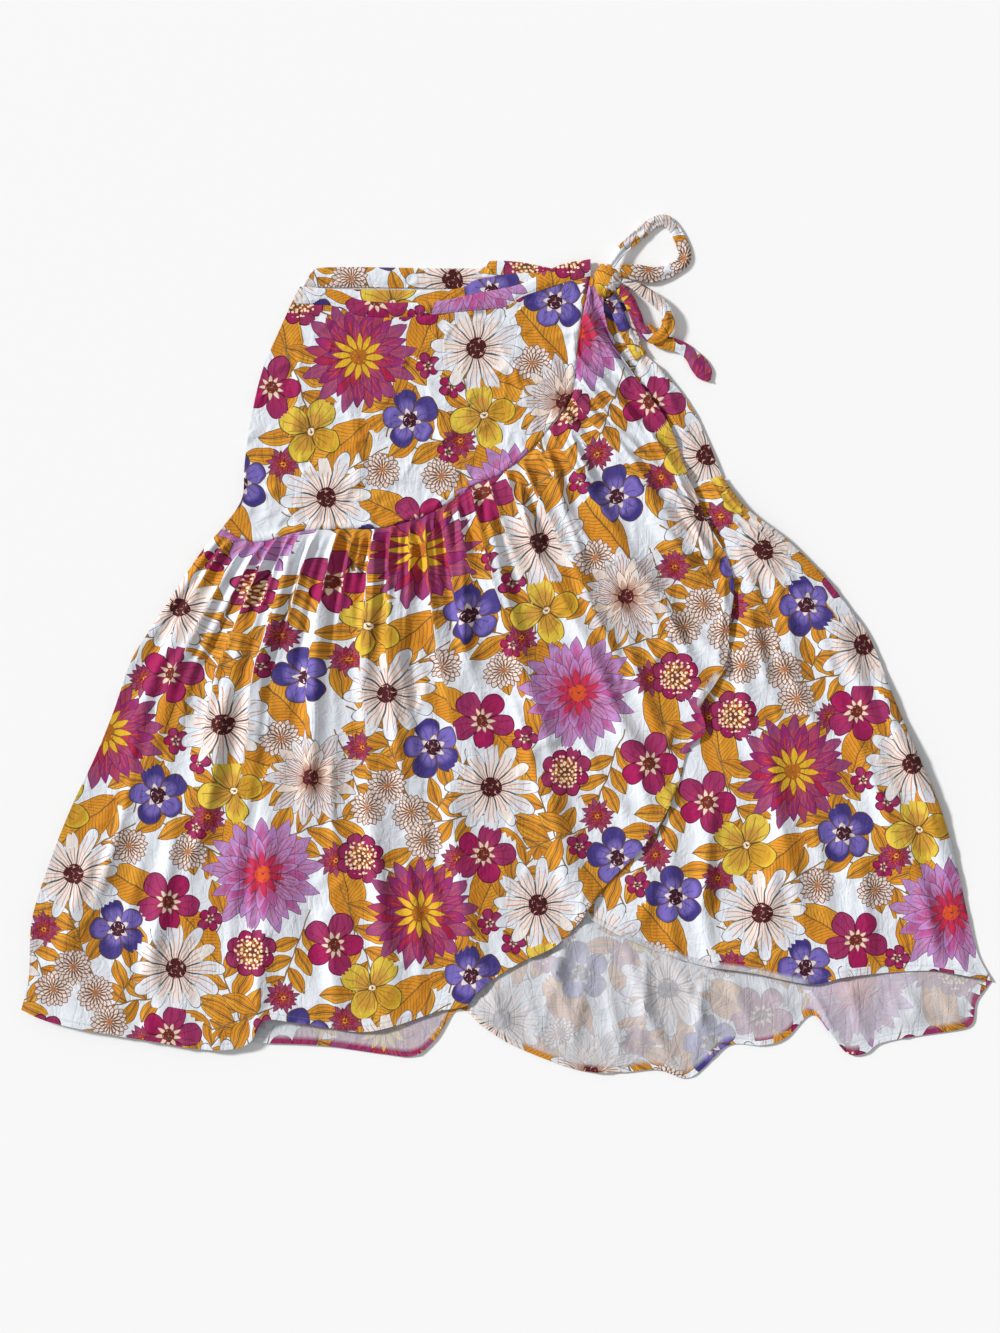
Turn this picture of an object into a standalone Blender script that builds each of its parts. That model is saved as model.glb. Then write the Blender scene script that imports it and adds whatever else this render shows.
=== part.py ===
"""A wrap skirt laid flat on its back, front up.

X runs across the skirt, Y up towards its waist, Z away from the surface it lies on.
Three layers lie on each other: the back, the under-wrap and the over-wrap. Each layer
is a waistband, a hip yoke and a gathered flounce. The ties leave the waist in a bow.
"""

import bpy
import numpy as np

MM = 0.001

# Driving dimensions, in millimetres.
CLOTH = 1.2          # wall of one panel
LAYER = 1.5          # rise from one layer to the next: a wall and the gap over it
SEAM_GAP = 0.4       # gap between two panels along their seam
TIE_THICK = 3.0      # folded and turned strap
KNOT_CENTRE = (102.5, 375.5, 8.7)
KNOT_RADII = (13.0, 16.0, 5.6)
KNOT_ROUND = 14      # facets round the knot
KNOT_RINGS = 7
STRAP_SIDES = 8
STRAP_FLATNESS = 0.5, 0.8   # powers that square off the strap's oval, across and up
CURVE_STEPS = 16            # points between two rows of an outline

BACK, UNDER, OVER = 0, 1, 2   # layers, from the surface up

# Colours of the print where each piece shows most, linear RGB.
WHITE_GROUND = (0.72, 0.74, 0.79)
OCHRE = (0.66, 0.32, 0.04)
FUCHSIA = (0.42, 0.01, 0.12)
FADED = (0.62, 0.60, 0.62)
VIOLET = (0.17, 0.12, 0.38)


def table(columns, *rows):
    """A table whose columns have names."""
    return np.array(list(rows), dtype=[(name, float) for name in columns.split()])


# Outlines, a row for each turn of the edge. Top and bottom edges run left to right,
# sides run from the waist down.
BACK_BAND_TOP = table(
    "x y", (-203, 383), (-182, 390), (-36, 389), (-19, 396), (7, 396), (36, 391), (125, 371))
BACK_BAND_FOOT = table(
    "x y", (-213, 364), (-190, 369), (-36, 368), (-15, 374), (10, 375), (40, 370), (130, 351))
UNDER_BAND_TOP = table(
    "x y", (-199, 369), (-164, 367), (-58, 367), (-32, 377), (5, 383), (60, 383), (125, 371))
UNDER_BAND_FOOT = table(
    "x y", (-199, 349), (-164, 347), (-58, 347), (-28, 357), (5, 363), (62, 363), (130, 351))
OVER_BAND_TOP = table(
    "x y", (-213, 370), (-176, 366), (-151, 356), (-112, 353), (-69, 355), (-30, 363),
    (13, 372), (41, 386), (62, 394), (86, 398))
OVER_BAND_FOOT = table(
    "x y", (-222, 352), (-181, 350), (-152, 340), (-109, 338), (-53, 343), (-4, 348),
    (14, 358), (36, 366), (62, 374), (86, 380))

LEFT_YOKE_SIDE = table(
    "x y", (-222, 352), (-233, 328), (-252, 283), (-263, 236), (-270, 190), (-273, 151),
    (-294, 120))
RIGHT_YOKE_SIDE = table(
    "x y", (130, 351), (139, 306), (161, 282), (187, 250), (207, 211), (221, 175))
LEFT_FLOUNCE_SIDE = table(
    "x y", (-294, 120), (-318, 92), (-365, 20), (-387, -16), (-404, -65), (-423, -112),
    (-450, -170), (-473, -230), (-489, -283), (-492, -341), (-500, -375))
RIGHT_FLOUNCE_SIDE = table(
    "x y", (221, 175), (246, 142), (285, 112), (325, 73), (351, 40), (374, 7), (398, -53),
    (423, -112), (450, -178), (467, -243), (483, -312), (500, -346))

OVER_SEAM = table(
    "x y", (-294, 120), (-272, 109), (-249, 107), (-215, 117), (-172, 120), (-128, 121),
    (-77, 137), (-35, 164), (-9, 175), (20, 196), (45, 224), (64, 250), (71, 276),
    (74, 318), (86, 380))
UNDER_SEAM = table(
    "x y", (-199, 349), (-183, 300), (-150, 248), (-90, 202), (0, 170), (100, 160),
    (180, 165), (221, 175))
BACK_SEAM = table(
    "x y", (-294, 120), (-210, 106), (-100, 104), (20, 112), (130, 136), (221, 175))

OVER_HEM = table(
    "x y", (-500, -375), (-469, -388), (-406, -401), (-368, -407), (-323, -415),
    (-286, -416), (-264, -408), (-250, -386), (-220, -388), (-182, -394), (-148, -398),
    (-113, -391), (-72, -377), (-42, -371), (-26, -352), (13, -327), (47, -311),
    (72, -288), (102, -247), (137, -211), (161, -177), (176, -144), (186, -108),
    (204, -88), (200, -62), (214, -40), (227, -16), (229, 22), (234, 60), (226, 92),
    (207, 126), (191, 164), (180, 192), (166, 229), (140, 266), (110, 310),
    (101, 338), (99, 362))
UNDER_HEM = table(
    "x y", (-211, 342), (-222, 250), (-224, 150), (-208, 50), (-170, -50), (-110, -130),
    (-40, -196), (20, -244), (82, -280), (130, -305), (194, -328), (251, -337),
    (314, -349), (352, -341), (431, -335), (477, -341), (500, -346))
BACK_HEM = table(
    "x y", (-500, -375), (-420, -390), (-330, -402), (-262, -409), (-194, -412),
    (-128, -421), (-96, -423), (-75, -407), (-50, -375), (-23, -394), (10, -414),
    (72, -437), (115, -440), (154, -437), (183, -446), (201, -437), (228, -412),
    (263, -412), (288, -404), (314, -380), (335, -403), (352, -421), (370, -420),
    (384, -410), (419, -403), (459, -397), (479, -390), (484, -366), (500, -346))

# Gathers and folds: a ridge of the flounce that starts at its seam, at this part of the
# way along it, and dies out at this part of the way to the hem.
OVER_FOLDS = table(
    "along width height reach",
    (0.06, 0.030, 3.0, 0.50), (0.13, 0.028, 4.5, 0.75), (0.20, 0.024, 5.5, 0.80),
    (0.27, 0.026, 5.0, 0.70), (0.34, 0.024, 4.0, 0.90), (0.41, 0.026, 5.0, 0.65),
    (0.48, 0.026, 4.0, 0.70), (0.56, 0.026, 3.5, 0.55), (0.64, 0.024, 3.0, 0.60),
    (0.71, 0.024, 3.5, 0.75), (0.78, 0.022, 3.5, 0.70), (0.85, 0.022, 3.0, 0.60))
UNDER_FOLDS = table(
    "along width height reach",
    (0.966, 0.007, 2.5, 0.50), (0.986, 0.006, 2.5, 0.60))

# Folds of the hem edge: the same, but starting at the hem and dying out upwards.
OVER_WAVES = table(
    "along width height reach",
    (0.045, 0.020, 4.0, 0.35), (0.11, 0.024, 5.0, 0.45), (0.19, 0.016, 6.0, 0.30),
    (0.26, 0.022, 4.0, 0.35), (0.33, 0.020, 5.0, 0.40), (0.42, 0.022, 4.0, 0.30),
    (0.52, 0.022, 4.0, 0.30), (0.62, 0.020, 5.0, 0.35), (0.70, 0.020, 5.0, 0.35),
    (0.77, 0.018, 5.0, 0.40))
UNDER_WAVES = table(
    "along width height reach",
    (0.74, 0.012, 2.5, 0.06), (0.81, 0.016, 3.5, 0.20), (0.88, 0.018, 4.0, 0.35),
    (0.95, 0.016, 3.5, 0.35))
BACK_WAVES = table(
    "along width height reach",
    (0.49, 0.016, 3.0, 0.08), (0.57, 0.020, 3.5, 0.14), (0.64, 0.020, 3.5, 0.16),
    (0.71, 0.018, 3.0, 0.13), (0.84, 0.016, 3.0, 0.06), (0.92, 0.018, 3.0, 0.06))

# The bow, each strap along its middle line: place, height over the surface and width.
HIGH_LOOP = table(
    "x y z width",
    (106.6, 391.2, 8.8, 9), (119, 408, 6.0, 11), (138, 425, 3.2, 12), (152, 436, 2.0, 12),
    (163, 438, 1.9, 12), (172, 430, 1.8, 12), (181, 413, 1.8, 13), (183, 399, 1.8, 13),
    (173, 389, 2.2, 14), (153, 382, 3.8, 16), (134, 384, 6.6, 16), (116.2, 385.4, 8.8, 12))
LOW_LOOP = table(
    "x y z width",
    (115.4, 367.3, 9.4, 9), (125, 356, 9.2, 12), (132, 341, 8.8, 12), (138, 327, 8.4, 11),
    (149, 316, 8.3, 11), (160, 320, 8.3, 12), (166, 332, 8.3, 13), (161, 347, 8.3, 13),
    (148, 359, 9.0, 13), (134, 368, 9.6, 10), (119.0, 375.4, 9.6, 5))
RIGHT_TAIL = table(
    "x y z width",
    (144, 328, 5.0, 11), (156, 314, 5.0, 13), (168, 311, 4.2, 14), (180, 307, 3.2, 13),
    (190, 299, 2.4, 15), (198, 289, 2.0, 18), (205, 279, 1.9, 15))
DOWN_TAIL = table(
    "x y z width",
    (106.8, 358.4, 6.2, 11), (114, 343, 5.4, 13), (121, 326, 4.7, 13), (130, 310, 4.6, 13),
    (138, 297, 4.6, 14))


def metres(outline):
    return np.column_stack([outline["x"], outline["y"]]) * MM


def smooth(rows, count):
    """Points evenly spaced on a curve through all the rows, with round turns between them."""
    ends = np.vstack([2 * rows[0] - rows[1], rows, 2 * rows[-1] - rows[-2]])
    step = np.linspace(0, 1, CURVE_STEPS, endpoint=False)[:, None]
    runs = []
    for before, start, end, after in zip(ends, ends[1:], ends[2:], ends[3:]):
        bend = 2 * before - 5 * start + 4 * end - after
        twist = 3 * (start - end) + after - before
        runs.append(start + 0.5 * step * (end - before + step * (bend + step * twist)))
    curve = np.vstack(runs + [rows[-1:]])
    length = np.append(0, np.cumsum(np.linalg.norm(np.diff(curve[:, :2], axis=0), axis=1)))
    stations = np.linspace(0, length[-1], count)
    return np.column_stack([np.interp(stations, length, axis) for axis in curve.T])


def beside(points, offset):
    """The same line moved sideways, to its left as it runs."""
    along = np.gradient(points, axis=0)
    along /= np.linalg.norm(along, axis=1, keepdims=True)
    return points + offset * np.column_stack([-along[:, 1], along[:, 0]])


def panel_points(top, foot, left, right):
    """Points of a panel inside its four edges: the blend of top and foot, and of the two sides."""
    down = np.linspace(0, 1, len(left))[:, None]
    across = np.linspace(0, 1, len(top))[None, :, None]
    left = left + (1 - down) * (top[0] - left[0]) + down * (foot[0] - left[-1])
    right = right + (1 - down) * (top[-1] - right[0]) + down * (foot[-1] - right[-1])
    down = down[:, None]
    between_ends = (1 - down) * top + down * foot
    between_sides = (1 - across) * left[:, None] + across * right[:, None]
    corners = ((1 - down) * ((1 - across) * top[0] + across * top[-1])
               + down * ((1 - across) * foot[0] + across * foot[-1]))
    return between_ends + between_sides - corners


def ridges(folds, columns, rows, from_hem=False):
    """Height of the folds over the panel: a bell across each, falling off along its length."""
    across = np.linspace(0, 1, columns)[None, :]
    down = np.linspace(0, 1, rows)[:, None]
    away = 1 - down if from_hem else down
    height = np.zeros((rows, columns))
    for fold in folds:
        bell = np.exp(-((across - fold["along"]) / fold["width"]) ** 2)
        fade = np.clip(1 - away / fold["reach"], 0, 1)
        height += fold["height"] * MM * bell * fade * fade * (3 - 2 * fade)
    return height


def material(name, colour):
    """Printed viscose: matt, with no metal in it."""
    made = bpy.data.materials.new(name)
    made.use_nodes = True
    shader = made.node_tree.nodes["Principled BSDF"]
    shader.inputs["Base Color"].default_value = (*colour, 1)
    shader.inputs["Roughness"].default_value = 0.85
    shader.inputs["Metallic"].default_value = 0
    return made


def add_object(name, points, faces, colour):
    mesh = bpy.data.meshes.new(name)
    mesh.from_pydata([tuple(point) for point in points], [], faces)
    mesh.materials.append(material(name + "_cloth", colour))
    mesh.shade_smooth()
    mesh.set_sharp_from_angle(angle=np.radians(50))
    bpy.context.scene.collection.objects.link(bpy.data.objects.new(name, mesh))


def add_panel(name, layer, colour, edges, from_seam=(), from_hem=()):
    """A wall over the panel's points: an upper and a lower face, joined by a strip round the edge."""
    grid = panel_points(*edges)
    rows, columns = grid.shape[:2]
    floor = (layer * LAYER * MM + ridges(from_seam, columns, rows)
             + ridges(from_hem, columns, rows, from_hem=True))
    lower = np.dstack([grid, floor]).reshape(-1, 3)
    upper = lower + (0, 0, CLOTH * MM)
    count = len(lower)
    number = np.arange(count).reshape(rows, columns)
    a, b = number[:-1, :-1].ravel(), number[:-1, 1:].ravel()
    c, d = number[1:, 1:].ravel(), number[1:, :-1].ravel()
    up = np.vstack([np.column_stack([a, d, c]), np.column_stack([a, c, b])])
    rim = np.concatenate([number[0, :-1], number[:-1, -1], number[-1, :0:-1], number[:0:-1, 0]])
    ahead = np.roll(rim, -1)
    strip = np.vstack([np.column_stack([rim, rim + count, ahead + count]),
                       np.column_stack([rim, ahead + count, ahead])])
    faces = np.vstack([up + count, up[:, ::-1], strip])
    add_object(name, np.vstack([lower, upper]), faces.tolist(), colour)


def add_strap(name, route, colour, sections):
    """A flat strap with rounded edges, carried along its middle line and closed at both ends."""
    rows = np.column_stack([route[column] for column in ("x", "y", "z", "width")])
    middle = smooth(rows, sections) * MM
    along = np.gradient(middle[:, :2], axis=0)
    along /= np.linalg.norm(along, axis=1, keepdims=True)
    side = np.column_stack([-along[:, 1], along[:, 0], np.zeros(sections)])
    turn = np.arange(STRAP_SIDES) * 2 * np.pi / STRAP_SIDES + np.pi / STRAP_SIDES
    flat_across, flat_up = STRAP_FLATNESS
    across = np.sign(np.cos(turn)) * np.abs(np.cos(turn)) ** flat_across / 2
    high = np.sign(np.sin(turn)) * np.abs(np.sin(turn)) ** flat_up / 2 * TIE_THICK * MM
    rings = middle[:, None, :3] + side[:, None] * (middle[:, 3, None] * across)[..., None]
    rings[..., 2] += high
    faces = []
    for ring in range(sections - 1):
        first = ring * STRAP_SIDES
        for step in range(STRAP_SIDES):
            following = (step + 1) % STRAP_SIDES
            faces.append((first + step, first + following,
                          first + following + STRAP_SIDES, first + step + STRAP_SIDES))
    faces.append(tuple(range(STRAP_SIDES))[::-1])
    faces.append(tuple(range((sections - 1) * STRAP_SIDES, sections * STRAP_SIDES)))
    add_object(name, rings.reshape(-1, 3), faces, colour)


def add_knot(name, colour):
    """A rounded lump: rings between two poles, flattened towards the waistband."""
    centre, radii = np.array(KNOT_CENTRE) * MM, np.array(KNOT_RADII) * MM
    turn = np.arange(KNOT_ROUND) * 2 * np.pi / KNOT_ROUND
    tilt = np.linspace(0, np.pi, KNOT_RINGS + 2)[1:-1]
    rings = np.stack([np.outer(np.sin(tilt), np.cos(turn)), np.outer(np.sin(tilt), np.sin(turn)),
                      np.outer(np.cos(tilt), np.ones(KNOT_ROUND))], axis=-1).reshape(-1, 3)
    points = centre + radii * np.vstack([rings, (0, 0, 1), (0, 0, -1)])
    top, foot = len(rings), len(rings) + 1
    last = (KNOT_RINGS - 1) * KNOT_ROUND
    faces = []
    for step in range(KNOT_ROUND):
        following = (step + 1) % KNOT_ROUND
        faces.append((top, step, following))
        faces.append((foot, last + following, last + step))
        for first in range(0, last, KNOT_ROUND):
            below = first + KNOT_ROUND
            faces.append((first + step, below + step, below + following, first + following))
    add_object(name, points, faces, colour)


def line(outline, count):
    return smooth(metres(outline), count)


def straight(start, end, count):
    return np.linspace(start, end, count)


for leftover in list(bpy.data.objects):
    bpy.data.objects.remove(leftover)

HALF_GAP = SEAM_GAP * MM / 2
BACK_COLUMNS, UNDER_COLUMNS, OVER_COLUMNS = 56, 44, 66   # points along each layer's seam
BACK_YOKE_ROWS, UNDER_YOKE_ROWS, OVER_YOKE_ROWS = 6, 12, 12
BACK_ROWS, UNDER_ROWS, OVER_ROWS = 10, 9, 12

back_seam = line(BACK_SEAM, BACK_COLUMNS)
under_seam = line(UNDER_SEAM, UNDER_COLUMNS)
over_seam = line(OVER_SEAM, OVER_COLUMNS)

# The wraps' yokes end in a point at the waist: there the seam is their front side too.
under_foot = UNDER_COLUMNS - UNDER_YOKE_ROWS + 1
over_foot = OVER_COLUMNS - OVER_YOKE_ROWS + 1

for name, layer, top, foot, columns, colour in (
        ("waistband_back", BACK, BACK_BAND_TOP, BACK_BAND_FOOT, BACK_COLUMNS, VIOLET),
        ("waistband_under", UNDER, UNDER_BAND_TOP, UNDER_BAND_FOOT, under_foot, FADED),
        ("waistband_over", OVER, OVER_BAND_TOP, OVER_BAND_FOOT, over_foot, WHITE_GROUND)):
    top, foot = line(top, columns), beside(line(foot, columns), HALF_GAP)
    add_panel(name, layer, colour,
              (top, foot, straight(top[0], foot[0], 2), straight(top[-1], foot[-1], 2)))

edge = beside(back_seam, HALF_GAP)
add_panel("yoke_back", BACK, FADED,
          (beside(line(BACK_BAND_FOOT, BACK_COLUMNS), -HALF_GAP), edge,
           line(LEFT_YOKE_SIDE, BACK_YOKE_ROWS), line(RIGHT_YOKE_SIDE, BACK_YOKE_ROWS)))
edge = beside(under_seam, HALF_GAP)
add_panel("yoke_under", UNDER, WHITE_GROUND,
          (beside(line(UNDER_BAND_FOOT, under_foot), -HALF_GAP), edge[UNDER_YOKE_ROWS - 1:],
           edge[:UNDER_YOKE_ROWS], line(RIGHT_YOKE_SIDE, UNDER_YOKE_ROWS)))
edge = beside(over_seam, HALF_GAP)
add_panel("yoke_over", OVER, WHITE_GROUND,
          (beside(line(OVER_BAND_FOOT, over_foot), -HALF_GAP), edge[:over_foot],
           line(LEFT_YOKE_SIDE, OVER_YOKE_ROWS), edge[over_foot - 1:][::-1]))

edge, hem = beside(back_seam, -HALF_GAP), line(BACK_HEM, BACK_COLUMNS)
add_panel("flounce_back", BACK, FADED,
          (edge, hem, line(LEFT_FLOUNCE_SIDE, BACK_ROWS), line(RIGHT_FLOUNCE_SIDE, BACK_ROWS)),
          from_hem=BACK_WAVES)
edge, hem = beside(under_seam, -HALF_GAP), line(UNDER_HEM, UNDER_COLUMNS)
add_panel("flounce_under", UNDER, FUCHSIA,
          (edge, hem, straight(edge[0], hem[0], UNDER_ROWS),
           line(RIGHT_FLOUNCE_SIDE, UNDER_ROWS)),
          from_seam=UNDER_FOLDS, from_hem=UNDER_WAVES)
edge, hem = beside(over_seam, -HALF_GAP), line(OVER_HEM, OVER_COLUMNS)
add_panel("flounce_over", OVER, OCHRE,
          (edge, hem, line(LEFT_FLOUNCE_SIDE, OVER_ROWS),
           straight(edge[-1], hem[-1], OVER_ROWS)),
          from_seam=OVER_FOLDS, from_hem=OVER_WAVES)

add_knot("tie_knot", OCHRE)
for name, route, colour, sections in (
        ("tie_loop_high", HIGH_LOOP, OCHRE, 26),
        ("tie_loop_low", LOW_LOOP, FUCHSIA, 24),
        ("tie_tail_right", RIGHT_TAIL, WHITE_GROUND, 14),
        ("tie_tail_down", DOWN_TAIL, VIOLET, 10)):
    add_strap(name, route, colour, sections)
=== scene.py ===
"""A wrap skirt in flower-printed viscose, laid flat with its front up and its ties in a bow.

X runs across the skirt, Y up towards its waist, Z away from the surface it lies on. The
pieces follow the order in which they lie: the back, the under-wrap, the over-wrap, the ties.
Tables are in millimetres, meshes in metres.
"""

import bpy
import numpy as np
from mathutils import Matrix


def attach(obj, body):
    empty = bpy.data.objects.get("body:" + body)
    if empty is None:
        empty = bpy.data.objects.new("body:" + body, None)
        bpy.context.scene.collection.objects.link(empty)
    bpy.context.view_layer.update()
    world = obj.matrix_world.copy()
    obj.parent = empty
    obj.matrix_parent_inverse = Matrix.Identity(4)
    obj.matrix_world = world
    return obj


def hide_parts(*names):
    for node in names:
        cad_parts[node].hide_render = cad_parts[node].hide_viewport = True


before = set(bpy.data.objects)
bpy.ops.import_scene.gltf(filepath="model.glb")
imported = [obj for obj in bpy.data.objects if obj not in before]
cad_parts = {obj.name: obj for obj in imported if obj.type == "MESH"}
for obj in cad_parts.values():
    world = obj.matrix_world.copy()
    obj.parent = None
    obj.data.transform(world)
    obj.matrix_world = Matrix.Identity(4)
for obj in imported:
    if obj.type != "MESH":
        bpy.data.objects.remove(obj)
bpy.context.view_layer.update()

# ---------------------------------------------------------------------------------------
# Back flounce. A wide strip of printed viscose gathered to the back yoke, wrong side up, so
# its print shows faded. Its narrow hem is turned onto the wrong side and stitched down.

MM = 0.001
CLOTH = 0.5              # thickness of one layer
BACK_LEVEL = 0.3         # underside of each layer above the surface
HEM_TURN = 7.0           # width of the turned and stitched hem


def table(columns, *rows):
    """A table whose columns have names."""
    return np.rec.fromrecords(list(rows), names=columns.replace(" ", ","))


BACK_SEAM = table(
    "x y", (-294, 120), (-210, 106), (-100, 104), (20, 112), (130, 136), (221, 175))
BACK_HEM = table(
    "x y", (-500, -375), (-420, -390), (-330, -402), (-262, -409), (-194, -412),
    (-128, -421), (-96, -423), (-75, -407), (-50, -375), (-23, -394), (10, -414),
    (72, -437), (115, -440), (154, -437), (183, -446), (201, -437), (228, -412),
    (263, -412), (288, -404), (314, -380), (335, -403), (352, -421), (370, -420),
    (384, -410), (419, -403), (459, -397), (479, -390), (484, -366), (500, -346))
LEFT_FLOUNCE_SIDE = table(
    "x y", (-294, 120), (-318, 92), (-365, 20), (-387, -16), (-404, -65), (-423, -112),
    (-450, -170), (-473, -230), (-489, -283), (-492, -341), (-500, -375))
RIGHT_FLOUNCE_SIDE = table(
    "x y", (221, 175), (246, 142), (285, 112), (325, 73), (351, 40), (374, 7), (398, -53),
    (423, -112), (450, -178), (467, -243), (483, -312), (500, -346))


def line(outline, count):
    """Points evenly spaced along a curve through the outline's rows, with round turns."""
    rows = np.column_stack([outline[name] for name in outline.dtype.names]).astype(float)
    ends = np.vstack([2 * rows[0] - rows[1], rows, 2 * rows[-1] - rows[-2]])
    step = np.linspace(0, 1, 16, endpoint=False)[:, None]
    runs = []
    for before, start, end, after in zip(ends, ends[1:], ends[2:], ends[3:]):
        bend = 2 * before - 5 * start + 4 * end - after
        twist = 3 * (start - end) + after - before
        runs.append(start + 0.5 * step * (end - before + step * (bend + step * twist)))
    curve = np.vstack(runs + [rows[-1:]])
    length = np.append(0, np.cumsum(np.linalg.norm(np.diff(curve[:, :2], axis=0), axis=1)))
    stations = np.linspace(0, length[-1], count)
    return np.column_stack([np.interp(stations, length, axis) for axis in curve.T])


def panel(top, foot, left, right):
    """Points inside four edges: the blend of top and foot, plus that of the sides, less the corners'."""
    down = np.linspace(0, 1, len(left))[:, None]
    across = np.linspace(0, 1, len(top))[None, :, None]
    left = left + (1 - down) * (top[0] - left[0]) + down * (foot[0] - left[-1])
    right = right + (1 - down) * (top[-1] - right[0]) + down * (foot[-1] - right[-1])
    down = down[:, None]
    corners = ((1 - down) * ((1 - across) * top[0] + across * top[-1])
               + down * ((1 - across) * foot[0] + across * foot[-1]))
    return ((1 - down) * top + down * foot
            + (1 - across) * left[:, None] + across * right[:, None] - corners)


def straight(start, end, count):
    return np.linspace(start, end, count)


def rise(value, start, end):
    """0 before start, 1 past end, with a soft step between them."""
    share = np.clip((value - start) / (end - start), 0, 1)
    return share * share * (3 - 2 * share)


def dents(across, along, seed):
    """Smooth noise from -1 to 1: random heights on a lattice one unit apart, joined by soft steps."""
    lattice = np.random.default_rng(seed).uniform(-1, 1, (128, 128))
    i, j = np.floor(across).astype(int), np.floor(along).astype(int)
    u, v = across - i, along - j
    u, v = u * u * (3 - 2 * u), v * v * (3 - 2 * v)
    i, j = i % 127, j % 127
    return ((1 - v) * ((1 - u) * lattice[i, j] + u * lattice[i + 1, j])
            + v * ((1 - u) * lattice[i, j + 1] + u * lattice[i + 1, j + 1]))


def creases(points, rows):
    """Height of the creases in a table. Each runs from one place to another and bows to its
    left by bow. Across it the height falls off as a bell, steeper on its right side, and it
    tapers to nothing at both ends."""
    height = np.zeros(points.shape[:2])
    for row in rows:
        start = np.array([row["x0"], row["y0"]], float)
        run = np.array([row["x1"], row["y1"]]) - start
        length = np.hypot(*run)
        ahead = (points[..., 0] - start[0]) * run[0] + (points[..., 1] - start[1]) * run[1]
        ahead = ahead / length ** 2
        aside = ((points[..., 1] - start[1]) * run[0]
                 - (points[..., 0] - start[0]) * run[1]) / length
        within = np.clip(ahead, 0, 1)
        aside = aside - row["bow"] * 4 * within * (1 - within)
        width = np.where(aside > 0, row["width"], 0.42 * row["width"])
        taper = rise(ahead, 0, 0.3) * (1 - rise(ahead, 0.6, 1))
        height += row["height"] * taper * np.exp(-np.abs(aside / width) ** 1.3)
    return height


def crumples(points, count, seed, size=(18, 60), lift=0.9, lean=0.5, spread=0.9):
    """Small creases that wear and packing leave: short, at random places, most of them
    near one direction, lean, in radians from the X axis."""
    chance = np.random.default_rng(seed)
    low, high = points.reshape(-1, 2).min(0), points.reshape(-1, 2).max(0)
    places = chance.uniform(low, high, (count, 2))
    turns = chance.normal(lean, spread, count)
    lengths = chance.uniform(*size, count)
    ends = places + lengths[:, None] * np.column_stack([np.cos(turns), np.sin(turns)])
    heights = chance.uniform(-0.7, 1, count) * lift
    rows = np.rec.fromarrays(
        [*places.T, *ends.T, chance.uniform(-0.12, 0.12, count) * lengths,
         0.1 * lengths + 1.5, heights], names="x0,y0,x1,y1,bow,width,height")
    return creases(points, rows)


def pressed(lift, most=16.0):
    """Heights held down by the cloth's own weight: nothing under 0, and never over most."""
    return most * np.tanh(np.maximum(lift, 0) / most)


def inside_distance(points, outline):
    """How far each point lies inside a closed outline; below zero outside it."""
    flat = points.reshape(-1, 2)
    nearest, inside = np.full(len(flat), np.inf), np.zeros(len(flat), bool)
    for start, end in zip(outline, np.roll(outline, -1, axis=0)):
        run = end - start
        share = np.clip(((flat - start) @ run) / max(run @ run, 1e-9), 0, 1)
        nearest = np.minimum(nearest, np.linalg.norm(flat - start - share[:, None] * run, axis=1))
        if start[1] != end[1]:
            crosses = (flat[:, 1] < start[1]) != (flat[:, 1] < end[1])
            at = start[0] + (flat[:, 1] - start[1]) * run[0] / run[1]
            inside ^= crosses & (flat[:, 0] < at)
    return np.where(inside, nearest, -nearest).reshape(points.shape[:2])


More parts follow.
